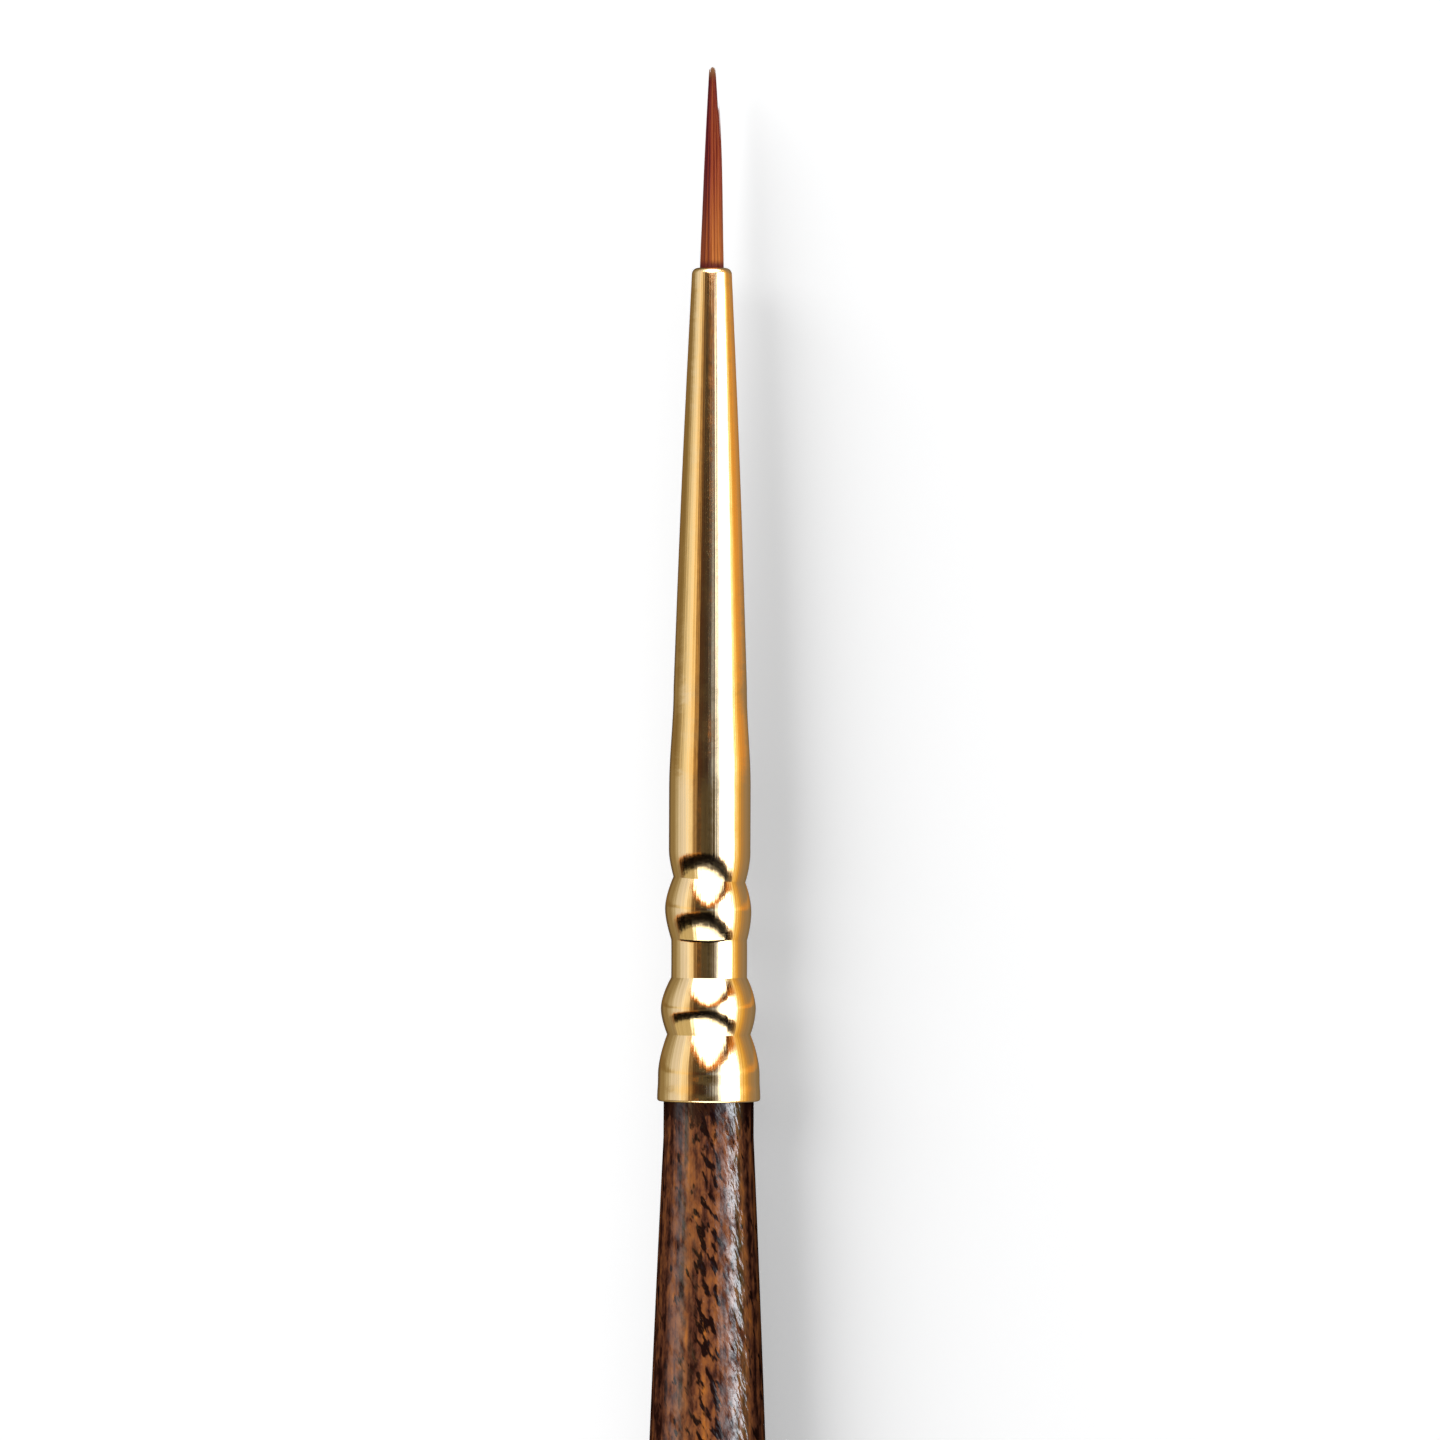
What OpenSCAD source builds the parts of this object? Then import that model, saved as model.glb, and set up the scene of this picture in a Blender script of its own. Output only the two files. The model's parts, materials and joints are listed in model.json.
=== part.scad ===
// Fine detail brush: a turned wooden handle, a drawn brass ferrule with two
// rolled crimps, and a round bundle of soft hair that comes to a point.
//
// The brush lies level along X with its point towards +X, resting on the
// cylindrical belly of its handle. Z = 0 is the surface it lies on and X = 0 is
// the middle of its length. All sizes are in millimetres.

/* [Tuft] */
// Length of the hair outside the ferrule
hair_out = 8.4; // [6:0.1:12]
// Diameter of the hair bundle where it leaves the ferrule
hair_d = 1.0; // [0.9:0.02:1.1]
// Diameter of the rounded point
point_d = 0.26; // [0.16:0.02:0.34]
// Depth of the hair root inside the ferrule
root_depth = 9; // [8:0.5:12]
// Diameter of the tied root
root_d = 1.2; // [1.12:0.02:1.26]
// Distance from the ferrule mouth to the point where the whole tuft bends
belly_pivot = 1.0; // [0.9:0.05:1.4]
// Distance from the ferrule mouth to the point where the tip bends
tip_pivot = 3.4; // [3:0.1:3.5]

/* [Ferrule] */
// Length of the ferrule
ferrule_l = 34.7; // [32:0.1:40]
// Outer diameter of the band at the handle end
lip_d = 4.24; // [4.1:0.02:4.4]
// Outer diameter at the mouth
mouth_d = 1.67; // [1.6:0.01:1.8]
// Wall thickness of the drawn tube
wall = 0.22; // [0.15:0.01:0.24]

/* [Handle] */
// Length of the whole brush
brush_l = 180; // [165:1:195]
// Diameter of the handle where it enters the ferrule
neck_d = 3.76; // [3.6:0.02:3.76]
// Diameter of the belly, the thickest part
belly_d = 5.8; // [5.4:0.1:6.4]
// Length of the cylindrical stretch of the belly
belly_l = 10; // [6:0.5:14]
// Distance from the ferrule to the front of the belly
belly_start = 32; // [28:0.5:36]
// Diameter of the rounded tail end
tail_d = 2.8; // [2.2:0.1:3.4]
// Length of the tenon inside the ferrule
tenon_l = 13; // [12:0.5:14]

/* [Joining] */
// Thickness of the adhesive film round the tenon
film = 0.05; // [0.03:0.01:0.08]
// Diameter of the binding thread
thread_d = 0.14; // [0.1:0.01:0.16]
// Number of turns of thread round the root
thread_turns = 5; // [3:1:6]
// Length of the resin plug that bonds the root
resin_l = 5.6; // [4.5:0.1:6]

/* [Hidden] */
$fn = 72;

// Every profile is drawn as [radius, s], where s is the distance from the
// ferrule's handle end: positive towards the point, negative along the handle.
axis_z = belly_d / 2;
lip_x = brush_l / 2 - hair_out - ferrule_l;
tail_s = hair_out + ferrule_l - brush_l;
belly_end = belly_start + belly_l;

// Crimped end of the ferrule as [s, outer diameter, curve that leads up to it].
// A "groove" curve starts round at a crest and ends sharp in a groove, a "crest"
// curve runs the other way, and a "wave" is smooth at both ends.
flare = 0.06;
crimp = [
    [0.00, lip_d + flare, "straight"],
    [0.15, lip_d + flare, "straight"],
    [0.90, lip_d, "wave"],
    [1.10, lip_d, "straight"],
    [2.77, lip_d - 0.76, "groove"],
    [3.85, lip_d - 0.28, "crest"],
    [5.15, lip_d - 1.08, "groove"],
    [6.70, lip_d - 1.08, "straight"],
    [7.95, lip_d - 0.64, "crest"],
    [9.22, lip_d - 1.24, "groove"],
    [10.40, lip_d - 0.84, "crest"],
    [13.00, lip_d - 0.84, "straight"],
    [17.20, lip_d - 1.18, "wave"]
];
crest_power = 1.7;
cone_s = crimp[len(crimp) - 1][0];
cone_d = crimp[len(crimp) - 1][1];
cone_bulge = 0.08;
cone_steps = 8;
curve_steps = 6;

// Mouth of the ferrule: a rounded rim, and a land that grips the hair
rim_r = 0.26;
rim_steps = 8;
land_l = 1.2;
land_taper = 1.5;
mouth_edge = 0.04;
rim_s = ferrule_l - rim_r;
land_s = ferrule_l - land_l;

// Hair segments meet at a ball and a dish, round the points where the bundle
// bends. The ball stands a little proud of the hair in front of it.
ball_proud = 0.01;
ball_gap = 0.04;
dish_back = 0.25;
tip_d = hair_out - point_d / 2;

// Root of the bundle
root_s = ferrule_l - root_depth;
resin_s = root_s - 0.8;
thread_s = root_s + 1.5;
tenon_chamfer = 0.4;
tenon_side = tenon_l - tenon_chamfer;

// Handle
neck_l = 1.5;
swell_power = 1.4;
tail_power = 1.3;
handle_steps = 14;
dome_steps = 8;

// How far a curve of one kind has gone, from 0 to 1, at t
function curve(kind, t) =
    kind == "groove" ? pow(t, crest_power) :
    kind == "crest" ? 1 - pow(1 - t, crest_power) :
    (1 - cos(180 * t)) / 2;

function mix(a, b, t) = a + (b - a) * t;

// The points of one curve between two stations, without its last point
function station_curve(a, b) =
    b[2] == "straight" ? [[a[0], a[1]]] :
    [for (i = [0 : curve_steps - 1])
        let (t = i / curve_steps)
        [mix(a[0], b[0], t), mix(a[1], b[1], curve(b[2], t))]];

// Crimped end and cone as [s, outer diameter], from the handle end to the rim
crimp_line = [for (i = [0 : len(crimp) - 2]) each station_curve(crimp[i], crimp[i + 1])];
cone_line = [for (i = [0 : cone_steps])
    let (t = i / cone_steps)
    [mix(cone_s, rim_s, t), mix(cone_d, mouth_d, t) + cone_bulge * sin(180 * t)]];
outer_line = concat(crimp_line, cone_line);

// Radius of the drawn tube's bore at any s
bore_table = [for (p = outer_line) [p[0], p[1] / 2 - wall]];
function bore_r(s) = lookup(s, bore_table);

// The bore between two values of s as [radius, s], drawn "inset" further in
function bore_line(from, to, inset = 0) =
    [for (s = concat(from, [for (p = outer_line) if (p[0] > from && p[0] < to) p[0]], to))
        [bore_r(s) - inset, s]];

// Radius of the tuft at distance d from the mouth, up to its rounded point
function tuft_r(d) = mix(hair_d, point_d, d / tip_d) / 2;

function reversed(list) = [for (i = [len(list) - 1 : -1 : 0]) list[i]];

// Outline of the tuft between two distances from the mouth, closed on the axis
function tuft_line(from, to) = [
    [0, ferrule_l + from], [tuft_r(from), ferrule_l + from],
    [tuft_r(to), ferrule_l + to], [0, ferrule_l + to]];

// Turns a profile of [radius, s] points round the axis of the brush
module on_axis() {
    translate([lip_x, 0, axis_z])
        rotate([0, 90, 0])
            rotate_extrude()
                children();
}

// Ball that starts a hair segment, or with a gap the room for it in the last one
module bend_ball(d, gap = 0) {
    translate([lip_x + ferrule_l + d, 0, axis_z])
        sphere(r = tuft_r(d) + ball_proud + gap);
}

module handle() {
    tenon = bore_line(0, tenon_side, film);
    end_r = bore_r(tenon_side) - film;
    swell_l = belly_start - neck_l;
    swell = [for (i = [0 : handle_steps])
        let (t = i / handle_steps)
        [mix(neck_d, belly_d, 1 - pow(1 - t, swell_power)) / 2, -neck_l - swell_l * t]];
    dome_s = tail_s + tail_d / 2;
    taper = [for (i = [0 : handle_steps])
        let (t = i / handle_steps)
        [mix(belly_d, tail_d, pow(t, tail_power)) / 2, mix(-belly_end, dome_s, t)]];
    dome = [for (i = [1 : dome_steps])
        let (a = 90 * i / dome_steps)
        [tail_d / 2 * cos(a), dome_s - tail_d / 2 * sin(a)]];
    color("saddlebrown")
        on_axis()
            polygon(concat(
                [[0, tenon_l], [end_r - tenon_chamfer, tenon_l]],
                reversed(tenon), swell, taper, dome));
}

module tenon_glue() {
    color("khaki")
        on_axis()
            polygon(concat(bore_line(0, tenon_side), reversed(bore_line(0, tenon_side, film))));
}

module ferrule() {
    outside = [for (p = outer_line) [p[1] / 2, p[0]]];
    rim = [for (i = [1 : rim_steps])
        let (a = 90 * i / rim_steps)
        [mouth_d / 2 - rim_r + rim_r * cos(a), rim_s + rim_r * sin(a)]];
    land = [[hair_d / 2, ferrule_l - mouth_edge], [hair_d / 2, land_s]];
    color("goldenrod")
        on_axis()
            polygon(concat(outside, rim, land, reversed(bore_line(0, land_s - land_taper))));
}

module root_resin() {
    root_r = root_d / 2;
    top = resin_s + resin_l;
    thread_end = thread_s + thread_turns * thread_d;
    color("peru")
        on_axis()
            polygon(concat(
                [[0, resin_s]], bore_line(resin_s, top),
                [[root_r, top], [root_r, thread_end], [root_r + thread_d, thread_end],
                 [root_r + thread_d, thread_s], [root_r, thread_s], [root_r, root_s],
                 [0, root_s]]));
}

module binding_thread() {
    turn_gap = 0.01;
    color("ivory")
        for (i = [0 : thread_turns - 1])
            on_axis()
                translate([(root_d + thread_d) / 2, thread_s + thread_d * (i + 0.5)])
                    circle(d = thread_d - turn_gap, $fn = 24);
}

module hair_heel() {
    end_s = ferrule_l + belly_pivot - dish_back;
    color("sienna")
        difference() {
            on_axis()
                polygon([
                    [0, root_s], [root_d / 2, root_s], [root_d / 2, land_s - land_taper],
                    [hair_d / 2, land_s], [hair_d / 2, end_s], [0, end_s]]);
            bend_ball(belly_pivot, ball_gap);
        }
}

module tuft_belly() {
    color("sienna")
        difference() {
            union() {
                bend_ball(belly_pivot);
                on_axis()
                    polygon(tuft_line(belly_pivot, tip_pivot - dish_back));
            }
            bend_ball(tip_pivot, ball_gap);
        }
}

module tuft_point() {
    color("brown")
        union() {
            bend_ball(tip_pivot);
            on_axis()
                polygon(tuft_line(tip_pivot, tip_d));
            translate([lip_x + ferrule_l + tip_d, 0, axis_z])
                sphere(d = point_d);
        }
}

handle();
tenon_glue();
ferrule();
root_resin();
binding_thread();
hair_heel();
tuft_belly();
tuft_point();
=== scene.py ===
"""Fine detail brush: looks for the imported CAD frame.

The brush lies along X with its point towards +X. All lengths are in metres, and
MM turns a size in millimetres into metres. Outlines are lists of (s, radius),
where s is the distance from the ferrule's handle end: positive towards the
point, negative along the handle.
"""
import json
import math
import random

import bpy
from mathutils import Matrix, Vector


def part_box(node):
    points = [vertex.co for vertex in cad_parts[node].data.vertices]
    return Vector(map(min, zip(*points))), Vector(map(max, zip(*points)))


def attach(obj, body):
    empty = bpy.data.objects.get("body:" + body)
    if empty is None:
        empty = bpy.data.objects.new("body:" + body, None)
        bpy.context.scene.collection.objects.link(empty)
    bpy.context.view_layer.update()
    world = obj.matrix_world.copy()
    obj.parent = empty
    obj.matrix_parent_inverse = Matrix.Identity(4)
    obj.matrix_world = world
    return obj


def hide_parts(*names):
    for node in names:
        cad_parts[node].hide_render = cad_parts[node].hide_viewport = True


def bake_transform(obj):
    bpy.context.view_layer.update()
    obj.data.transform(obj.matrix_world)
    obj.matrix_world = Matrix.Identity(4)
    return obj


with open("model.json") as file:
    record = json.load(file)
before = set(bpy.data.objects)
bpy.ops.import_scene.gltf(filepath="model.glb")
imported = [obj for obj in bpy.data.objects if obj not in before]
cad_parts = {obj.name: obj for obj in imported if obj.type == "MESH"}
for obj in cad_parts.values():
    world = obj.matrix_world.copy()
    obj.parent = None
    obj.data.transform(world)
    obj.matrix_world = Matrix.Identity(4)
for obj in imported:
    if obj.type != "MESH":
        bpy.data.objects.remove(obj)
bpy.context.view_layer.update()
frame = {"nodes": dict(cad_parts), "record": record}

MM = 0.001
random.seed(7)

# ---------------------------------------------------------------- the frame

ferrule_low, ferrule_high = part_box("ferrule")
handle_low, handle_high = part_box("handle")
_, point_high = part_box("tuft_point")
thread_low, thread_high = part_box("binding_thread")
heel_low, heel_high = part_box("hair_heel")

LIP_X = ferrule_low.x
AXIS_Z = (handle_low.z + handle_high.z) / 2
FERRULE_L = ferrule_high.x - ferrule_low.x
MOUTH_X = ferrule_high.x
HAIR_OUT = point_high.x - MOUTH_X
LIP_R = (ferrule_high.z - ferrule_low.z) / 2
BELLY_R = (handle_high.z - handle_low.z) / 2
TAIL_S = handle_low.x - LIP_X
TENON_S = handle_high.x - LIP_X

JOINT_X = {j["name"]: j["pos_m"][0] for j in frame["record"]["behaviour"]["joints"]}
BELLY_PIVOT = JOINT_X["tuft_bend"] - MOUTH_X
TIP_PIVOT = JOINT_X["point_bend"] - MOUTH_X


# ------------------------------------------------------------- mesh helpers

SHARP_ANGLE = math.radians(24)


def new_object(name, verts, faces, material, smooth=True):
    """A mesh object in the scene. If smooth, all but its caps and sharp edges are shaded round."""
    mesh = bpy.data.meshes.new(name)
    mesh.from_pydata(verts, [], faces)
    mesh.validate()
    mesh.materials.append(material)
    if smooth:
        mesh.shade_smooth()
        for face in mesh.polygons:
            face.use_smooth = len(face.vertices) <= 4
        mesh.set_sharp_from_angle(angle=SHARP_ANGLE)
    obj = bpy.data.objects.new(name, mesh)
    bpy.context.scene.collection.objects.link(obj)
    return obj


def ease(t):
    """From 0 to 1 along half a cosine wave."""
    return (1 - math.cos(math.pi * t)) / 2


def mix(a, b, t):
    """From a at t = 0 to b at t = 1."""
    return a + (b - a) * t


def ring_faces(rings, sides, closed):
    """Quads between rings of vertices, and between the last and the first if closed."""
    faces = []
    for i in range(rings if closed else rings - 1):
        a, b = i * sides, (i + 1) % rings * sides
        for k in range(sides):
            n = (k + 1) % sides
            faces.append((a + k, a + n, b + n, b + k))
    return faces


def revolve(name, outline, segments, material, closed=False, warp=None):
    """Turns an outline round the brush's axis. An open outline gets a flat cap at each end.
    warp(s, r, angle) may return other values of s and r."""
    verts = []
    for s, r in outline:
        for k in range(segments):
            angle = 2 * math.pi * k / segments
            ws, wr = warp(s, r, angle) if warp else (s, r)
            verts.append((LIP_X + ws, -wr * math.sin(angle), AXIS_Z + wr * math.cos(angle)))
    faces = ring_faces(len(outline), segments, closed)
    if not closed:
        faces.append(tuple(reversed(range(segments))))
        last = (len(outline) - 1) * segments
        faces.append(tuple(range(last, last + segments)))
    return new_object(name, verts, faces, material)


# ----------------------------------------------------------------- outlines

# Crimped end of the ferrule: (s, radius, curve that leads up to it) in millimetres.
# A "groove" curve starts round at a crest and ends sharp in a groove, a "crest"
# curve runs the other way, a "wave" is smooth at both ends, and a "straight"
# stretch keeps its radius.
CRIMP = [
    (0.00, 2.15, "straight"),
    (0.15, 2.15, "straight"),
    (0.90, 2.12, "wave"),
    (1.10, 2.12, "straight"),
    (2.77, 1.74, "groove"),
    (3.85, 1.98, "crest"),
    (5.15, 1.58, "groove"),
    (6.70, 1.58, "straight"),
    (7.95, 1.80, "crest"),
    (9.22, 1.50, "groove"),
    (10.40, 1.70, "crest"),
    (13.0, 1.70, "straight"),
    (17.2, 1.53, "wave"),
]
CREST_POWER = 1.7
WALL = 0.22 * MM
CONE_BULGE = 0.04 * MM
CURVE_STEPS = 18
CONE_STEPS = 24

# The ferrule's ends: a rounded lip at the handle, and a rounded rim with a land that grips the hair
LIP_EDGE_R = 0.09 * MM
MOUTH_R = 0.835 * MM
RIM_R = 0.26 * MM
HAIR_R = 0.5 * MM
MOUTH_EDGE = 0.05 * MM
MOUTH_EDGE_START = 0.5 * MM
MOUTH_EDGE_END = 0.12 * MM
LAND_L = 1.2 * MM
LAND_TAPER = 1.5 * MM

# The handle, and the adhesive film round its tenon
FILM = 0.05 * MM
TENON_CHAMFER = 0.4 * MM
NECK_L = 1.5 * MM
NECK_R = 1.88 * MM
BELLY_START = 32 * MM
BELLY_L = 10 * MM
TAIL_R = 1.4 * MM
SWELL_POWER = 1.4
TAIL_POWER = 1.3
SWELL_STEPS = 60
TAPER_STEPS = 90


def curve(kind, t):
    """How far a curve of one kind has gone, from 0 to 1, at t."""
    if kind == "groove":
        return t ** CREST_POWER
    if kind == "crest":
        return 1 - (1 - t) ** CREST_POWER
    return ease(t)


def ferrule_radius(s):
    """Outer radius of the ferrule at s, without the rounded rim at its mouth."""
    for (s0, r0, _), (s1, r1, kind) in zip(CRIMP, CRIMP[1:]):
        if s <= s1 * MM:
            return mix(r0, r1, curve(kind, max(0, (s / MM - s0) / (s1 - s0)))) * MM
    cone_s, cone_r = CRIMP[-1][0] * MM, CRIMP[-1][1] * MM
    t = (s - cone_s) / (FERRULE_L - RIM_R - cone_s)
    return mix(cone_r, MOUTH_R, t) + CONE_BULGE * math.sin(math.pi * t)


def ferrule_stations(s_max):
    """Values of s from the ferrule's lip to s_max, close enough to follow its curves."""
    found = []
    for (s0, _, _), (s1, _, _) in zip(CRIMP, CRIMP[1:]):
        found += [mix(s0, s1, i / CURVE_STEPS) * MM for i in range(CURVE_STEPS)]
    cone_s = CRIMP[-1][0] * MM
    found += [mix(cone_s, FERRULE_L - RIM_R, i / CONE_STEPS) for i in range(CONE_STEPS + 1)]
    return [s for s in found if s < s_max - 0.01 * MM] + [s_max]


def arc(s, r, radius, start, end, steps=8):
    """Points of an arc round (s, r). Angle 0 points away from the axis, 90 towards the point."""
    points = []
    for i in range(steps + 1):
        a = math.radians(mix(start, end, i / steps))
        points.append((s + radius * math.sin(a), r + radius * math.cos(a)))
    return points


def ferrule_outline():
    """The whole wall: the rounded lip, the outside, the rounded rim and the bore."""
    rim_s = FERRULE_L - RIM_R
    bore_end = FERRULE_L - LAND_L - LAND_TAPER
    lip = arc(LIP_EDGE_R, LIP_R - LIP_EDGE_R, LIP_EDGE_R, -90, 0, 6)
    outside = [(s, ferrule_radius(s)) for s in ferrule_stations(rim_s) if s > LIP_EDGE_R]
    rim = arc(rim_s, MOUTH_R - RIM_R, RIM_R, 0, 90)
    mouth = [
        (FERRULE_L - MOUTH_EDGE_END, HAIR_R + MOUTH_EDGE),
        (FERRULE_L - MOUTH_EDGE_START, HAIR_R),
        (FERRULE_L - LAND_L, HAIR_R),
    ]
    bore = [(s, ferrule_radius(s) - WALL) for s in ferrule_stations(bore_end)]
    return lip + outside + rim[1:] + mouth + bore[::-1]


def glue_outline():
    """The film between the tenon and the bore."""
    stations = ferrule_stations(TENON_S - TENON_CHAMFER)
    outside = [(s, ferrule_radius(s) - WALL) for s in stations]
    inside = [(s, r - FILM) for s, r in outside]
    return outside + inside[::-1]


def handle_outline():
    """Tenon, neck, belly and tail, from the tenon's end to the tail's end."""
    side = TENON_S - TENON_CHAMFER
    tenon = [(s, ferrule_radius(s) - WALL - FILM) for s in ferrule_stations(side)]
    tip = [(TENON_S, tenon[-1][1] - TENON_CHAMFER)]
    swell_l = BELLY_START - NECK_L
    swell = []
    for i in range(SWELL_STEPS + 1):
        t = i / SWELL_STEPS
        swell.append((-NECK_L - swell_l * t, mix(NECK_R, BELLY_R, 1 - (1 - t) ** SWELL_POWER)))
    dome_s = TAIL_S + TAIL_R
    taper = []
    for i in range(TAPER_STEPS + 1):
        t = i / TAPER_STEPS
        taper.append((mix(-BELLY_START - BELLY_L, dome_s, t), mix(BELLY_R, TAIL_R, t ** TAIL_POWER)))
    dome = arc(dome_s, 0, TAIL_R, 0, -88, 14)[1:]
    return tip + tenon[::-1] + swell + taper + dome


# ---------------------------------------------------------- material helpers

class Shader:
    """A node tree with short calls for the nodes that the materials use."""

    def __init__(self, tree):
        self.tree = tree

    def node(self, kind, **settings):
        made = self.tree.nodes.new(kind)
        for key, value in settings.items():
            setattr(made, key, value)
        return made

    def feed(self, socket, value):
        """Links another socket to this one, or sets its value. None leaves it as it is."""
        if isinstance(value, bpy.types.NodeSocket):
            self.tree.links.new(value, socket)
        elif value is not None:
            socket.default_value = value

    def math(self, operation, *values):
        made = self.node("ShaderNodeMath", operation=operation)
        for socket, value in zip(made.inputs, values):
            self.feed(socket, value)
        return made.outputs[0]

    def times(self, a, b):
        return self.math("MULTIPLY", a, b)

    def line(self, start, *terms):
        """start plus each (value, factor) of terms."""
        total = start
        for value, factor in terms:
            total = self.math("MULTIPLY_ADD", value, factor, total)
        return total

    def step(self, value, low, high):
        """Smooth step from 0 at low to 1 at high."""
        made = self.node("ShaderNodeMapRange", interpolation_type="SMOOTHSTEP")
        self.feed(made.inputs["Value"], value)
        self.feed(made.inputs["From Min"], low)
        self.feed(made.inputs["From Max"], high)
        return made.outputs["Result"]

    def band(self, value, middle, inner, outer):
        """1 up to inner from middle, then smoothly down to 0 at outer from it."""
        apart = self.math("ABSOLUTE", self.math("SUBTRACT", value, middle))
        return self.step(apart, outer, inner)

    def scaled(self, vector, scale):
        made = self.node("ShaderNodeVectorMath", operation="MULTIPLY")
        self.feed(made.inputs[0], vector)
        self.feed(made.inputs[1], scale)
        return made.outputs[0]

    def noise(self, vector, scale=1.0, detail=2.0, roughness=0.5):
        made = self.node("ShaderNodeTexNoise")
        self.feed(made.inputs["Vector"], vector)
        self.feed(made.inputs["Scale"], scale)
        self.feed(made.inputs["Detail"], detail)
        self.feed(made.inputs["Roughness"], roughness)
        return made.outputs["Fac"]

    def ramp(self, value, stops):
        """A colour ramp. stops are (position, (r, g, b))."""
        made = self.node("ShaderNodeValToRGB")
        elements = made.color_ramp.elements
        while len(elements) < len(stops):
            elements.new(1.0)
        for element, (position, rgb) in zip(elements, stops):
            element.position = position
            element.color = (*rgb, 1)
        self.feed(made.inputs["Fac"], value)
        return made.outputs["Color"]

    def scale_colour(self, colour, factor):
        made = self.node("ShaderNodeVectorMath", operation="SCALE")
        self.feed(made.inputs[0], colour)
        self.feed(made.inputs["Scale"], factor)
        return made.outputs[0]

    def blend(self, factor, a, b):
        """The colour a at factor 0, b at factor 1."""
        made = self.node("ShaderNodeMix", data_type="RGBA")
        self.feed(made.inputs["Factor"], factor)
        self.feed(made.inputs[6], (*a, 1) if isinstance(a, tuple) else a)
        self.feed(made.inputs[7], (*b, 1) if isinstance(b, tuple) else b)
        return made.outputs[2]

    def bump(self, height, distance, normal=None):
        """A normal for a surface that stands up to distance high, on top of another normal."""
        made = self.node("ShaderNodeBump")
        self.feed(made.inputs["Height"], height)
        self.feed(made.inputs["Distance"], distance)
        self.feed(made.inputs["Strength"], 1.0)
        self.feed(made.inputs["Normal"], normal)
        return made.outputs["Normal"]

    def axis_coordinates(self):
        """Object coordinates moved so that the brush's axis is y = z = 0."""
        coordinates = self.node("ShaderNodeTexCoord").outputs["Object"]
        made = self.node("ShaderNodeVectorMath", operation="SUBTRACT")
        self.feed(made.inputs[0], coordinates)
        self.feed(made.inputs[1], (LIP_X, 0, AXIS_Z))
        return made.outputs[0]

    def drawn_coordinates(self):
        """(x, cos, sin) of the angle round the axis, so that a pattern runs along the brush."""
        parts = self.node("ShaderNodeSeparateXYZ")
        self.feed(parts.inputs[0], self.axis_coordinates())
        flat = self.node("ShaderNodeCombineXYZ")
        self.feed(flat.inputs[1], parts.outputs[1])
        self.feed(flat.inputs[2], parts.outputs[2])
        unit = self.node("ShaderNodeVectorMath", operation="NORMALIZE")
        self.feed(unit.inputs[0], flat.outputs[0])
        turned = self.node("ShaderNodeSeparateXYZ")
        self.feed(turned.inputs[0], unit.outputs[0])
        joined = self.node("ShaderNodeCombineXYZ")
        self.feed(joined.inputs[0], parts.outputs[0])
        self.feed(joined.inputs[1], turned.outputs[1])
        self.feed(joined.inputs[2], turned.outputs[2])
        return joined.outputs[0]

    def twisted_coordinates(self, turn):
        """Axis coordinates turned about the axis by turn radians for each metre along it."""
        place = self.axis_coordinates()
        parts = self.node("ShaderNodeSeparateXYZ")
        self.feed(parts.inputs[0], place)
        turned = self.node("ShaderNodeVectorRotate", rotation_type="X_AXIS")
        self.feed(turned.inputs["Vector"], place)
        self.feed(turned.inputs["Angle"], self.times(parts.outputs[0], turn))
        return turned.outputs[0]


def material(name):
    """A new material, the Shader to build it with, and the inputs of its Principled shader."""
    made = bpy.data.materials.new(name)
    made.use_nodes = True
    shader = Shader(made.node_tree)
    surface = made.node_tree.nodes["Principled BSDF"]
    return made, shader, surface.inputs


# ---------------------------------------------------------------- materials

def gilt_brass():
    """Drawn brass tube, polished and gold plated, with fine lines along the draw."""
    made, shader, surface = material("gilt_brass")
    drawn = shader.drawn_coordinates()
    fine = shader.noise(shader.scaled(drawn, (60, 34, 34)), detail=3)
    broad = shader.noise(shader.scaled(drawn, (35, 9, 9)), detail=2)
    cloud = shader.noise(shader.axis_coordinates(), scale=900, detail=3)
    tone = shader.line(0.0, (fine, 0.5), (broad, 0.5))
    colour = shader.ramp(tone, [(0.3, (0.86, 0.60, 0.30)), (0.6, (0.96, 0.70, 0.38))])
    shader.feed(surface["Base Color"], colour)
    surface["Metallic"].default_value = 1.0
    surface["Specular Tint"].default_value = (1.0, 0.72, 0.42, 1)
    shader.feed(surface["Roughness"], shader.line(0.03, (cloud, 0.08), (fine, 0.08)))
    wavy = shader.noise(shader.scaled(shader.axis_coordinates(), (900, 700, 700)), detail=3)
    relief = shader.bump(fine, 0.004 * MM)
    relief = shader.bump(broad, 0.012 * MM, relief)
    relief = shader.bump(wavy, 0.016 * MM, relief)
    shader.feed(surface["Normal"], relief)
    return made


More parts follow.
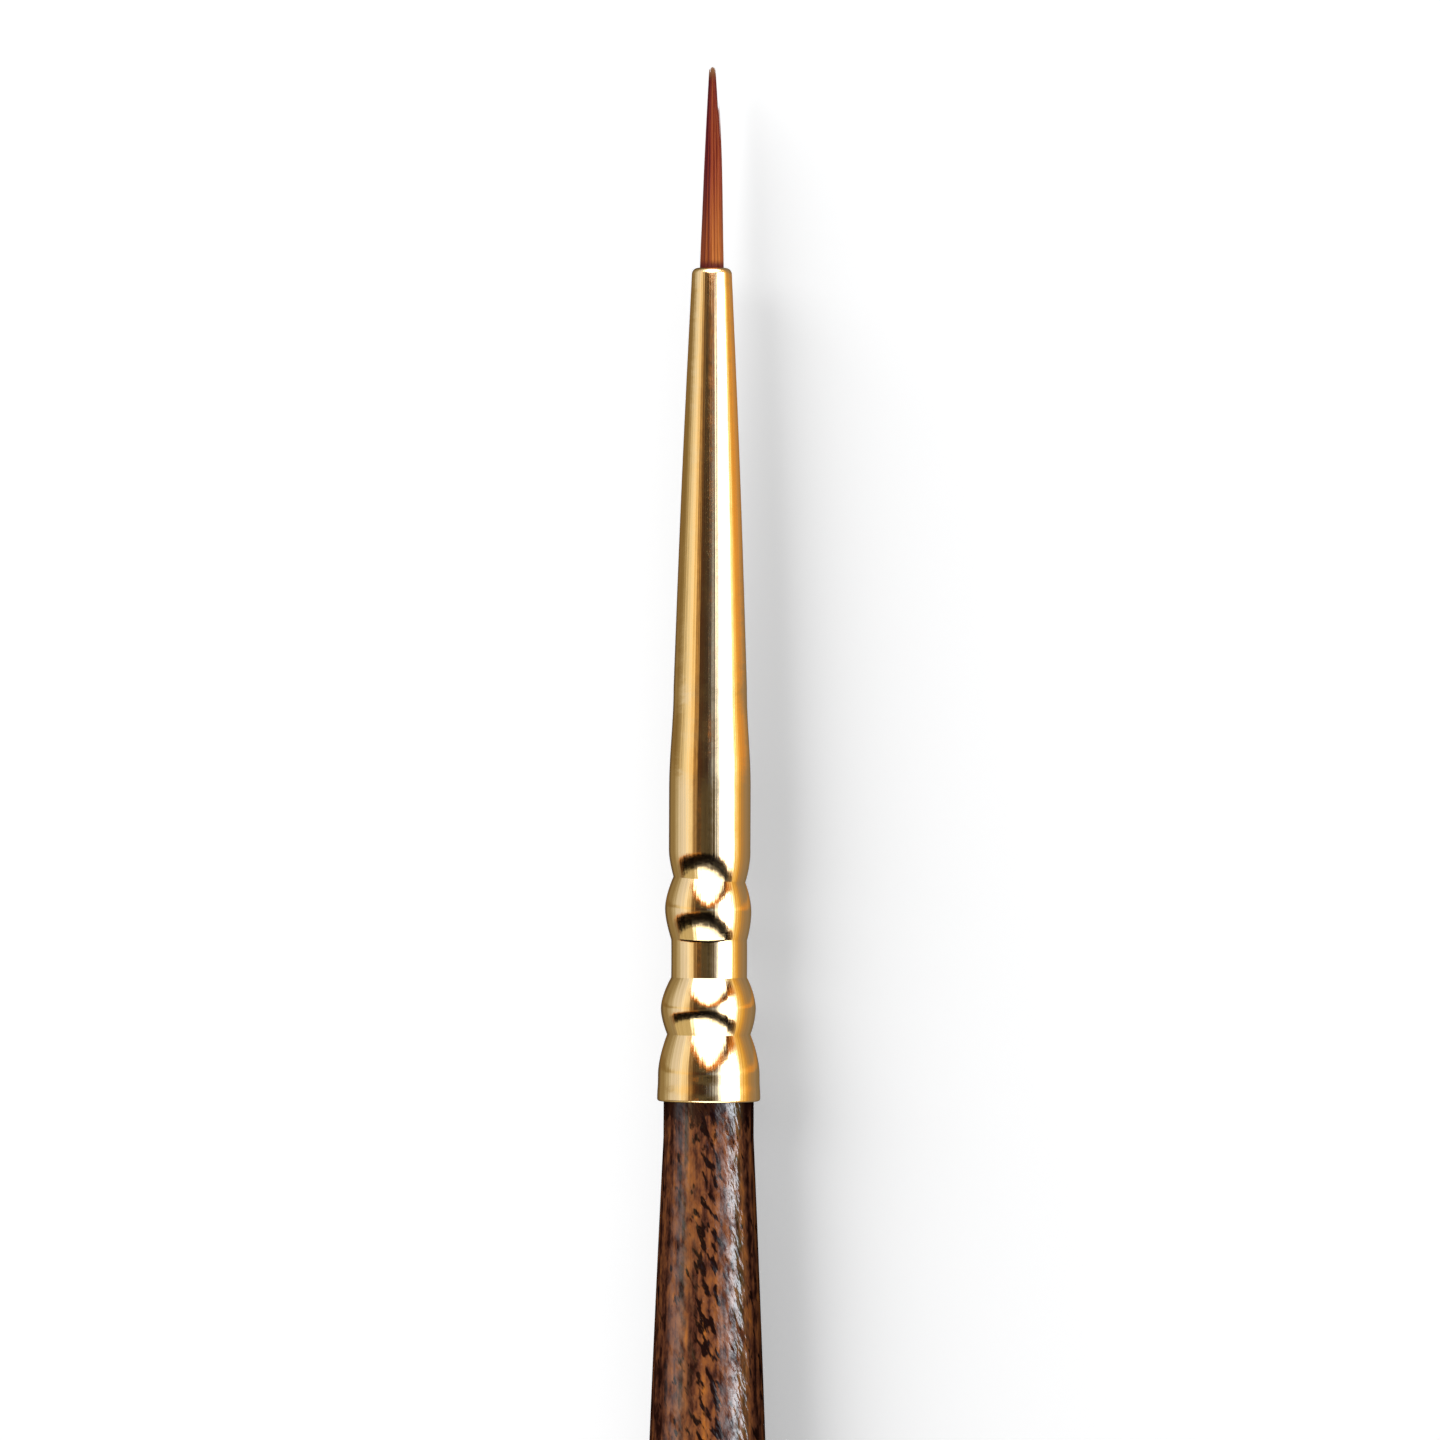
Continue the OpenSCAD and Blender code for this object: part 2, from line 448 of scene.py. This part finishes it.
def lacquered_wood():
    """Dark brown stained wood with open pores, under clear gloss lacquer. side is the angle round
    the handle in radians, 0 on top and positive towards -Y. Along the top, dark reflections are
    painted into the wood as denser dark flecks and a slightly lighter stain, and the lacquer is worn
    thin; beside that, towards -Y, the lacquer is rippled."""
    made, shader, surface = material("lacquered_wood")
    place = shader.axis_coordinates()
    mottle = shader.noise(shader.scaled(place, (1300, 3000, 3000)), detail=4, roughness=0.6)
    grain = shader.noise(shader.scaled(shader.drawn_coordinates(), (190, 9, 9)), detail=4)
    parts = shader.node("ShaderNodeSeparateXYZ")
    shader.feed(parts.inputs[0], place)
    side = shader.math("ARCTAN2", shader.times(parts.outputs[1], -1.0), parts.outputs[2])
    # the band along the top, where dark reflections are painted into the wood and the lacquer ripples
    # more
    top_band = shader.band(side, 0.0, 0.12, 0.36)
    worn = shader.band(side, 0.16, 0.12, 0.36)
    beside = shader.band(side, 0.66, 0.10, 0.40)
    # the stain is painted a little lighter along the top band
    tone = shader.line(-0.02, (mottle, 0.55), (grain, 0.45), (top_band, 0.035))
    stain = shader.ramp(tone, [
        (0.38, (0.020, 0.006, 0.004)),
        (0.46, (0.085, 0.027, 0.014)),
        (0.53, (0.185, 0.061, 0.022)),
        (0.60, (0.260, 0.086, 0.024)),
        (0.67, (0.390, 0.124, 0.022)),
    ])
    twisted = shader.twisted_coordinates(turn=160)
    fleck = shader.noise(shader.scaled(twisted, (1500, 3700, 3700)), detail=2, roughness=0.5)
    # dark pores, with more dark flecks along the top band as painted dark reflections
    pores_and_painted_flecks = shader.step(shader.line(fleck, (top_band, -0.12)), 0.30, 0.40)
    colour = shader.blend(pores_and_painted_flecks, (0.012, 0.004, 0.003), stain)

    # a painted shade line, ragged, on the shoulder under the ferrule's lip
    ragged = shader.line(parts.outputs[0], (shader.math("SUBTRACT", mottle, 0.5), 5 * MM))
    painted_lip_shade = shader.step(ragged, -1.0 * MM, -0.4 * MM)
    colour = shader.blend(shader.times(painted_lip_shade, 0.9), colour, (0.010, 0.003, 0.003))
    shader.feed(surface["Base Color"], colour)
    surface["Roughness"].default_value = 0.5
    surface["Specular IOR Level"].default_value = 0.0

    # the lacquer is uneven and gives no reflection at the edges of the handle
    patches = shader.noise(shader.scaled(twisted, (1300, 2500, 2500)), detail=3, roughness=0.6)
    grazing = shader.node("ShaderNodeLayerWeight").outputs["Facing"]
    gloss = shader.times(shader.step(patches, 0.28, 0.61), shader.step(grazing, 0.42, 0.18))
    shader.feed(surface["Coat Weight"], shader.times(gloss, shader.line(1.0, (worn, -0.80))))
    surface["Coat Roughness"].default_value = 0.05
    surface["Coat IOR"].default_value = 1.7
    ripple = shader.noise(shader.scaled(twisted, (1600, 3300, 3300)), detail=2)
    amount = shader.line(0.12, (top_band, 0.30), (beside, 0.60))
    lacquer = shader.bump(shader.times(ripple, amount), 0.14 * MM)
    shader.feed(surface["Coat Normal"], lacquer)
    shader.feed(surface["Normal"], lacquer)
    return made


def hair():
    """Glossy red-brown hair, with the shade of the ferrule's rim painted dark on it at the mouth, and
    straw-coloured at the point. Each strand's tone and its distance along the tuft are mesh
    attributes."""
    made, shader, surface = material("hair")
    tone = shader.node("ShaderNodeAttribute", attribute_name="strand_tone").outputs["Fac"]
    along = shader.node("ShaderNodeAttribute", attribute_name="strand_along").outputs["Fac"]
    ginger = shader.ramp(tone, [
        (0.0, (0.15, 0.032, 0.016)),
        (0.5, (0.34, 0.088, 0.022)),
        (1.0, (0.56, 0.19, 0.045)),
    ])
    dark_red = shader.ramp(tone, [
        (0.0, (0.06, 0.006, 0.012)),
        (0.5, (0.20, 0.025, 0.015)),
        (1.0, (0.42, 0.10, 0.03)),
    ])
    straw = (0.34, 0.16, 0.07)
    painted_rim_shade = (0.10, 0.015, 0.012)
    colour = shader.blend(shader.step(along, 0.0, 0.55), ginger, dark_red)
    colour = shader.blend(shader.step(along, 0.92, 1.0), colour, straw)
    # painted shade: the hairs are darkened at the ferrule's mouth, where its rim shades them
    colour = shader.blend(shader.step(along, 0.045, 0.005), colour, painted_rim_shade)
    shader.feed(surface["Base Color"], colour)
    surface["Roughness"].default_value = 0.45
    surface["Specular IOR Level"].default_value = 0.12
    return made


def wood_glue():
    """Cloudy cured adhesive."""
    made, shader, surface = material("wood_glue")
    cloud = shader.noise(shader.axis_coordinates(), scale=1500, detail=3)
    colour = shader.ramp(cloud, [(0.3, (0.55, 0.43, 0.22)), (0.7, (0.78, 0.68, 0.44))])
    shader.feed(surface["Base Color"], colour)
    surface["Roughness"].default_value = 0.55
    shader.feed(surface["Normal"], shader.bump(cloud, 0.01 * MM))
    return made


def root_resin():
    """Clear amber resin."""
    made, shader, surface = material("root_resin")
    cloud = shader.noise(shader.axis_coordinates(), scale=1100, detail=2)
    colour = shader.ramp(cloud, [(0.3, (0.30, 0.13, 0.03)), (0.7, (0.62, 0.34, 0.11))])
    shader.feed(surface["Base Color"], colour)
    surface["Roughness"].default_value = 0.18
    surface["Subsurface Weight"].default_value = 0.3
    surface["Subsurface Scale"].default_value = 0.4 * MM
    return made


def binding_thread():
    """Waxed cotton thread, its fibres twisted round it."""
    made, shader, surface = material("binding_thread")
    fibres = shader.noise(shader.twisted_coordinates(turn=900), scale=14000, detail=3)
    colour = shader.ramp(fibres, [(0.3, (0.50, 0.45, 0.34)), (0.7, (0.84, 0.80, 0.70))])
    shader.feed(surface["Base Color"], colour)
    surface["Roughness"].default_value = 0.75
    surface["Sheen Weight"].default_value = 0.3
    shader.feed(surface["Normal"], shader.bump(fibres, 0.01 * MM))
    return made


GILT = gilt_brass()
WOOD = lacquered_wood()
HAIR = hair()
GLUE = wood_glue()
RESIN = root_resin()
THREAD = binding_thread()


# ------------------------------------------------------- handle and ferrule

def bell(s, middle, width):
    """1 at middle, falling to 0 on both sides of it. middle and width are in millimetres."""
    return math.exp(-((s / MM - middle) / width) ** 2)


def crimp_warp(s, r, angle):
    """The crimping wheels left the groove nearest the cone, at 9.2, a little askew, and the beads
    at 3.85 and 7.95 a little fuller on their +Y side."""
    side = math.sin(angle)
    beads = bell(s, 7.95, 0.9) + 0.6 * bell(s, 3.85, 0.9)
    skew = bell(s, 9.2, 1.6)
    return s - 0.12 * MM * skew * side, r - 0.05 * MM * beads * side


def make_handle():
    handle = revolve("handle_turned", handle_outline(), 160, WOOD)
    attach(handle, "root")
    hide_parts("handle")


def make_glue():
    glue = revolve("tenon_glue_film", glue_outline(), 96, GLUE, closed=True)
    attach(glue, "root")
    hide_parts("tenon_glue")


def make_ferrule():
    ferrule = revolve("ferrule_drawn", ferrule_outline(), 192, GILT,
                      closed=True, warp=crimp_warp)
    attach(ferrule, "root")
    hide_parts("ferrule")


# --------------------------------------------------------------------- hair

STRANDS = 230
STRAND_R = 0.036 * MM
STRAND_SIDES = 7
GOLDEN_ANGLE = math.radians(137.508)
POINT_R = 0.15 * MM
TUFT_BULGE = 0.02 * MM
# the tuft is this much fuller on its -Y side, where the outer hairs are shorter
FULLER_SIDE = 0.08 * MM
ROOT_DEPTH = MOUTH_X - heel_low.x
ROOT_R = (heel_high.z - heel_low.z) / 2


def tuft_radius(d):
    """Radius of the bundle at distance d from the ferrule's mouth, negative inside the ferrule."""
    if d <= -LAND_L - LAND_TAPER:
        return ROOT_R
    if d <= -LAND_L:
        return mix(HAIR_R, ROOT_R, (-LAND_L - d) / LAND_TAPER)
    if d <= 0:
        return HAIR_R
    cone = HAIR_OUT - POINT_R
    if d <= cone:
        return mix(HAIR_R, POINT_R, d / cone) + TUFT_BULGE * math.sin(math.pi * d / cone)
    return POINT_R * math.sqrt(max(0.0, 1 - ((d - cone) / POINT_R) ** 2))


class Strand:
    """One hair: where it stands in the bundle, how long it is and what tone it has. rho is 0 on
    the axis and 1 at the edge of the bundle, and sideways is 1 on its -Y side."""

    def __init__(self, index):
        # a sunflower's pattern fills the bundle evenly
        self.rho = min(1, 1.04 * math.sqrt((index + 0.5) / STRANDS))
        self.angle = index * GOLDEN_ANGLE + random.uniform(-0.12, 0.12)
        self.drift = random.gauss(0, 0.16)
        self.wave = random.uniform(0, 2 * math.pi)
        self.wave_size = random.uniform(0, 0.05)
        self.sideways = max(0.0, math.sin(self.angle))

        # outer hairs end earlier, the outermost on the -Y side earliest, and those in the middle
        # make the point
        shortest = mix(0.995, 0.90, self.rho ** 2)
        self.length = HAIR_OUT * random.uniform(shortest, 1.0)
        if self.sideways > 0.30 and self.rho > 0.80:
            self.length = HAIR_OUT * random.uniform(0.62, 0.84)
        if self.rho < 0.12:
            self.length = HAIR_OUT * random.uniform(0.99, 1.0)
        self.thick = STRAND_R * random.uniform(0.88, 1.08)

        # lighter and darker locks, and painted light: the hairs on the -Y side are painted lighter
        locks_and_painted_light = 0.5 + 0.32 * math.sin(self.angle - 0.35) + 0.2 * math.sin(3 * self.angle + 1.1)
        self.tone = min(1, max(0, locks_and_painted_light + random.gauss(0, 0.2)))

    def place(self, d):
        """Centre of the hair at distance d from the mouth. Each hair waves and drifts a little."""
        along = max(0.0, d / HAIR_OUT)
        room = max(0.0, tuft_radius(d) - self.radius(d))
        wave = 1 + self.wave_size * math.sin(self.wave + 9 * along)
        r = self.rho * room * min(wave, 1 / max(self.rho, 0.5))
        r += FULLER_SIDE * self.rho * self.sideways * math.sin(math.pi * min(1, along) ** 1.5)
        angle = self.angle + self.drift * along
        return (MOUTH_X + d, -r * math.sin(angle), AXIS_Z + r * math.cos(angle))

    def radius(self, d):
        """Full at first, then a long fine taper to the hair's own point."""
        t = min(1, max(0, d / self.length))
        return self.thick * max(0.10, (1 - 0.62 * t) * (1 - t ** 9) ** 0.6)


def strand_tube(strand, start, end, rings, verts, faces, tones, alongs):
    """Adds one capped tube from start to end, or to the hair's own point if that comes first."""
    end = min(end, strand.length)
    if end - start < 0.05 * MM:
        return
    first = len(verts)
    for i in range(rings):
        d = mix(start, end, i / (rings - 1))
        x, y, z = strand.place(d)
        r = strand.radius(d)
        for k in range(STRAND_SIDES):
            a = 2 * math.pi * k / STRAND_SIDES
            verts.append((x, y + r * math.sin(a), z + r * math.cos(a)))
            tones.append(strand.tone)
            alongs.append(max(0.0, d / HAIR_OUT))
    tube = ring_faces(rings, STRAND_SIDES, False)
    faces.extend(tuple(first + v for v in reversed(face)) for face in tube)
    last = first + (rings - 1) * STRAND_SIDES
    faces.append(tuple(range(first, first + STRAND_SIDES)))
    faces.append(tuple(reversed(range(last, last + STRAND_SIDES))))


def hair_piece(name, strands, start, end, rings):
    """All strands between two distances from the mouth, as one piece."""
    verts, faces, tones, alongs = [], [], [], []
    for strand in strands:
        strand_tube(strand, start, end, rings, verts, faces, tones, alongs)
    made = new_object(name, verts, faces, HAIR)
    for attribute, values in (("strand_tone", tones), ("strand_along", alongs)):
        layer = made.data.attributes.new(attribute, "FLOAT", "POINT")
        layer.data.foreach_set("value", values)
    return made


def make_tuft():
    """Three pieces of the same hairs. The first bend reaches from the mouth to bend_1, the second
    between the two distances in bend_2, and the last two pieces meet at split, between them."""
    strands = [Strand(i) for i in range(STRANDS)]
    in_mouth = -0.3 * MM
    bend_1 = 2 * BELLY_PIVOT
    bend_2 = TIP_PIVOT - 1.3 * MM, TIP_PIVOT + 1.3 * MM
    split = (bend_1 + bend_2[0]) / 2

    heel = hair_piece("hair_heel_strands", strands, -ROOT_DEPTH, in_mouth, rings=5)
    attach(heel, "root")
    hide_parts("hair_heel")
    belly = hair_piece("tuft_belly_strands", strands, in_mouth, split, rings=12)
    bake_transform(belly)
    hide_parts("tuft_belly")
    point = hair_piece("tuft_point_strands", strands, split, HAIR_OUT, rings=26)
    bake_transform(point)
    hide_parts("tuft_point")


# ----------------------------------------------------------- joining inside

def make_thread():
    """The binding thread as it is wound: one helix round the root of the bundle."""
    thread_r = 0.065 * MM
    gap = 0.005 * MM
    turns = 5
    sides, per_turn = 10, 40
    coil_r = ROOT_R + thread_r + gap
    start, end = thread_low.x + thread_r, thread_high.x - thread_r
    count = turns * per_turn + 1
    verts = []
    for i in range(count):
        a = 2 * math.pi * i / per_turn
        x = mix(start, end, i / (count - 1))
        for k in range(sides):
            b = 2 * math.pi * k / sides
            r = coil_r + thread_r * math.cos(b)
            verts.append((x + thread_r * math.sin(b), -r * math.sin(a), AXIS_Z + r * math.cos(a)))
    faces = ring_faces(count, sides, False)
    faces.append(tuple(reversed(range(sides))))
    last = (count - 1) * sides
    faces.append(tuple(range(last, last + sides)))
    thread = new_object("binding_thread_wound", verts, faces, THREAD)
    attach(thread, "root")
    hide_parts("binding_thread")


def paint_node(name, paint):
    """Gives a CAD node that stays its procedural material."""
    node = frame["nodes"][name]
    for slot in node.material_slots:
        slot.material = paint


make_handle()
make_glue()
make_ferrule()
make_tuft()
make_thread()
paint_node("root_resin", RESIN)


# ------------------------------------------------------------------- studio

# Brightness of the sky overhead and lower down, what the camera's background adds to it, and how
# much the floor glows
SKY = 0.3
BELOW_SKY = 0.03
BACKDROP = 0.95
FLOOR_GLOW = 0.385

# The strip lights: (angle round the brush's axis, colour with its strength). The first list is
# what the parallel surfaces mirror, the second what the cone mirrors.
STRIP_STRENGTH = 9.6
STRIPS_LEVEL = [
    (-180, (0.10, 0.10, 0.10)),
    (-150, (0.15, 0.14, 0.12)),
    (-138, (0.31, 0.29, 0.21)),
    (-123, (0.28, 0.24, 0.14)),
    (-107, (0.50, 0.48, 0.38)),
    (-94, (0.76, 0.78, 0.80)),
    (-78, (0.82, 0.84, 0.90)),
    (-66, (1.10, 1.12, 1.06)),
    (-57, (1.06, 0.96, 0.72)),
    (-49, (0.62, 0.46, 0.26)),
    (-41, (0.24, 0.16, 0.08)),
    (-34, (0.085, 0.055, 0.032)),
    (-22, (0.11, 0.095, 0.065)),
    (10, (0.11, 0.095, 0.06)),
    (17, (0.26, 0.25, 0.27)),
    (27, (1.0, 1.2, 1.6)),
    (37, (8.4, 9.0, 9.6)),
    (60, (8.4, 9.0, 9.6)),
    (71, (1.5, 1.45, 1.2)),
    (81, (1.02, 0.80, 0.33)),
    (91, (0.80, 0.48, 0.09)),
    (102, (0.52, 0.32, 0.12)),
    (116, (0.38, 0.30, 0.20)),
    (132, (0.30, 0.27, 0.26)),
    (150, (0.26, 0.27, 0.29)),
    (180, (0.15, 0.15, 0.16)),
]
STRIPS_AHEAD = [
    (-180, (0.20, 0.17, 0.12)),
    (-138, (0.24, 0.20, 0.12)),
    (-123, (0.22, 0.17, 0.08)),
    (-107, (0.32, 0.27, 0.15)),
    (-94, (0.54, 0.46, 0.28)),
    (-80, (0.86, 0.82, 0.64)),
    (-66, (1.15, 1.04, 0.78)),
    (-57, (1.10, 0.88, 0.50)),
    (-49, (0.82, 0.55, 0.22)),
    (-41, (0.36, 0.20, 0.07)),
    (-34, (0.080, 0.036, 0.020)),
    (-12, (0.026, 0.013, 0.012)),
    (-3, (0.055, 0.055, 0.070)),
    (8, (0.24, 0.29, 0.42)),
    (18, (0.75, 0.90, 1.20)),
    (27, (2.2, 2.4, 2.8)),
    (36, (5.0, 5.2, 5.4)),
    (64, (5.0, 5.2, 5.4)),
    (75, (1.7, 1.6, 1.0)),
    (86, (1.10, 0.76, 0.24)),
    (100, (0.86, 0.44, 0.09)),
    (116, (0.70, 0.37, 0.11)),
    (134, (0.55, 0.38, 0.20)),
    (180, (0.25, 0.20, 0.15)),
]


def make_floor():
    """A plain pale floor that glows faintly, so that shadows stay pale. It isn't mirrored in the
    brush and casts no light on it."""
    half = 60.0
    verts = [(-half, -half, 0), (half, -half, 0), (half, half, 0), (-half, half, 0)]
    paper, _, surface = material("paper_floor")
    surface["Base Color"].default_value = (0.9, 0.9, 0.9, 1)
    surface["Roughness"].default_value = 0.9
    surface["Specular IOR Level"].default_value = 0.1
    surface["Emission Color"].default_value = (1, 1, 1, 1)
    surface["Emission Strength"].default_value = FLOOR_GLOW
    floor = new_object("floor", verts, [(0, 1, 2, 3)], paper, smooth=False)
    floor.visible_glossy = False
    floor.visible_diffuse = False
    return floor


def strip_ramp(shader, place, strips):
    """The strip lights as a ramp over place, which goes once round the axis from 0 to 1. A ramp's
    colours end at 1, so they are scaled down in it and up again after it."""
    stops = [((angle + 180) / 360, tuple(c / STRIP_STRENGTH for c in rgb)) for angle, rgb in strips]
    return shader.scale_colour(shader.ramp(place, stops), STRIP_STRENGTH)


def reflected_studio(shader):
    """What glossy surfaces see in each direction. side is the angle round the brush's axis in
    degrees: 0 overhead, 90 towards -Y. Two strip lights run along the brush, the brighter on its
    -Y side, with a dark gap overhead. The light beyond the point is broadest overhead, and the
    one beyond the handle narrows towards -Y."""
    direction = shader.node("ShaderNodeTexCoord").outputs["Generated"]
    parts = shader.node("ShaderNodeSeparateXYZ")
    shader.feed(parts.inputs[0], direction)
    x, y, z = parts.outputs
    side = shader.math("ARCTAN2", shader.times(y, -1.0), z)
    side = shader.times(side, 180 / math.pi)
    away = shader.math("ABSOLUTE", side)
    back = shader.times(x, -1.0)
    place = shader.math("DIVIDE", shader.math("ADD", side, 180.0), 360.0)
    level = strip_ramp(shader, place, STRIPS_LEVEL)
    ahead = strip_ramp(shader, place, STRIPS_AHEAD)
    cone = shader.times(shader.step(x, 0.02, 0.045), shader.step(x, 0.14, 0.09))
    seen = shader.blend(cone, level, ahead)

    # the unlit gap behind, which reaches further down on the +Y side, with a warm rim along its
    # edge except overhead
    reach = shader.line(away, (side, 0.167))
    gap_start = shader.line(0.045, (away, 0.0032), (side, 0.0015))
    past_gap = shader.math("SUBTRACT", back, gap_start)
    rim = shader.times(shader.step(past_gap, -0.045, -0.015), shader.step(away, 16.0, 32.0))
    rim = shader.times(rim, shader.step(reach, 94.0, 82.0))
    seen = shader.blend(rim, seen, (0.70, 0.30, 0.06))
    gap = shader.times(shader.step(past_gap, -0.01, 0.015), shader.step(reach, 102.0, 76.0))
    seen = shader.blend(gap, seen, (0.003, 0.002, 0.002))

    # the light beyond the handle, cream on its +Y side
    light_start = shader.line(0.38, (away, 0.001), (side, 0.0013))
    past_start = shader.math("SUBTRACT", back, light_start)
    back_light = shader.times(shader.step(past_start, 0.0, 0.04), shader.step(reach, 94.0, 82.0))
    back_colour = shader.blend(shader.step(side, -48.0, -36.0), (0.62, 0.56, 0.36), (3.2, 3.3, 3.4))
    seen = shader.blend(back_light, seen, back_colour)

    # the light beyond the point, in a brown and orange outline that is wider on the -Y side and
    # brown again next to the light there
    front_edge = shader.line(-35.0, (x, 150.0), (away, -1.0))
    within = shader.times(shader.step(side, -62.0, -56.0), shader.step(side, 80.0, 72.0))
    wide_edge = shader.line(front_edge, (shader.math("MAXIMUM", side, 0.0), 0.38))
    outline = shader.times(shader.step(wide_edge, -18.0, -13.0), within)
    warm = shader.blend(shader.step(wide_edge, -15.0, -8.0), (0.07, 0.028, 0.012), (0.85, 0.33, 0.06))
    shade = shader.times(shader.step(front_edge, -31.0, -16.0), shader.step(side, 26.0, 40.0))
    warm = shader.blend(shade, warm, (0.10, 0.035, 0.015))
    seen = shader.blend(outline, seen, warm)
    front = shader.times(shader.step(front_edge, -1.0, 6.0), within)
    return shader.blend(front, seen, (3.6, 3.7, 3.8))


def make_world():
    """Pale surroundings. What the camera sees mirrored in glossy surfaces is the studio's lights."""
    world = bpy.data.worlds.new("studio")
    bpy.context.scene.world = world
    world.use_nodes = True
    tree = world.node_tree
    tree.nodes.clear()
    shader = Shader(tree)
    glossy = shader.node("ShaderNodeBackground")
    shader.feed(glossy.inputs["Color"], reflected_studio(shader))
    rays = shader.node("ShaderNodeLightPath")
    upwards = shader.node("ShaderNodeSeparateXYZ")
    shader.feed(upwards.inputs[0], shader.node("ShaderNodeTexCoord").outputs["Generated"])
    above = shader.step(upwards.outputs[2], 0.15, 0.8)
    pale = shader.node("ShaderNodeBackground")
    shader.feed(pale.inputs["Color"], (0.985, 0.995, 1.01, 1))
    camera_sees = rays.outputs["Is Camera Ray"]
    strength = shader.line(BELOW_SKY, (above, SKY - BELOW_SKY), (camera_sees, BACKDROP))
    shader.feed(pale.inputs["Strength"], strength)
    direct = shader.math("LESS_THAN", rays.outputs["Diffuse Depth"], 0.5)
    mirrored = shader.times(rays.outputs["Is Glossy Ray"], direct)
    chosen = shader.node("ShaderNodeMixShader")
    shader.feed(chosen.inputs[0], mirrored)
    shader.feed(chosen.inputs[1], pale.outputs[0])
    shader.feed(chosen.inputs[2], glossy.outputs[0])
    out = shader.node("ShaderNodeOutputWorld")
    shader.feed(out.inputs["Surface"], chosen.outputs[0])


def soft_box(name, watts, size, elevation, turn, lit, others):
    """An area light aimed at the floor under the ferrule's mouth. It lights only the objects in
    lit, or if there are none everything but the others, and isn't seen or mirrored. turn is
    measured from +Y towards +X."""
    light = bpy.data.lights.new(name, "AREA")
    light.shape = "RECTANGLE"
    light.size, light.size_y = size
    light.energy = watts
    box = bpy.data.objects.new(name, light)
    bpy.context.scene.collection.objects.link(box)
    distance = 1.3
    level = distance * math.cos(elevation)
    aim = Vector((level * math.sin(turn), level * math.cos(turn), distance * math.sin(elevation)))
    box.location = aim + Vector((MOUTH_X, 0, 0))
    box.rotation_euler = aim.to_track_quat("Z", "Y").to_euler()
    box.visible_glossy = False
    box.visible_camera = False
    receivers = bpy.data.collections.new(name + "_receivers")
    for thing in lit + others:
        receivers.objects.link(thing)
    for link in receivers.collection_objects[len(lit):]:
        link.light_linking.link_state = "EXCLUDE"
    box.light_linking.receiver_collection = receivers


def make_lights(floor):
    """The key light throws the brush's soft shadow towards -Y, the top light shades the brush."""
    soft_box("key", watts=17.5, size=(0.6, 1.3), elevation=math.radians(35),
             turn=math.radians(24), lit=[floor], others=[])
    soft_box("top", watts=18, size=(0.6, 0.6), elevation=math.radians(84),
             turn=0, lit=[], others=[floor])


def make_camera():
    """Straight above, with the point of the brush at the top of the picture."""
    camera = bpy.data.objects.new("camera", bpy.data.cameras.new("camera"))
    bpy.context.scene.collection.objects.link(camera)
    bpy.context.scene.camera = camera
    field = 60 * MM
    middle = LIP_X + 15.87 * MM
    beside = -0.41 * MM
    lean = math.radians(0.22)
    camera.data.lens = 200
    camera.data.sensor_width = 36
    above = field * camera.data.lens / camera.data.sensor_width
    camera.location = (middle, beside, AXIS_Z + above)
    camera.rotation_euler = (0, 0, lean - math.pi / 2)
    camera.data.clip_start = 0.01
    camera.data.clip_end = 20


make_world()
make_lights(make_floor())
make_camera()
bpy.context.scene.view_settings.view_transform = "Standard"
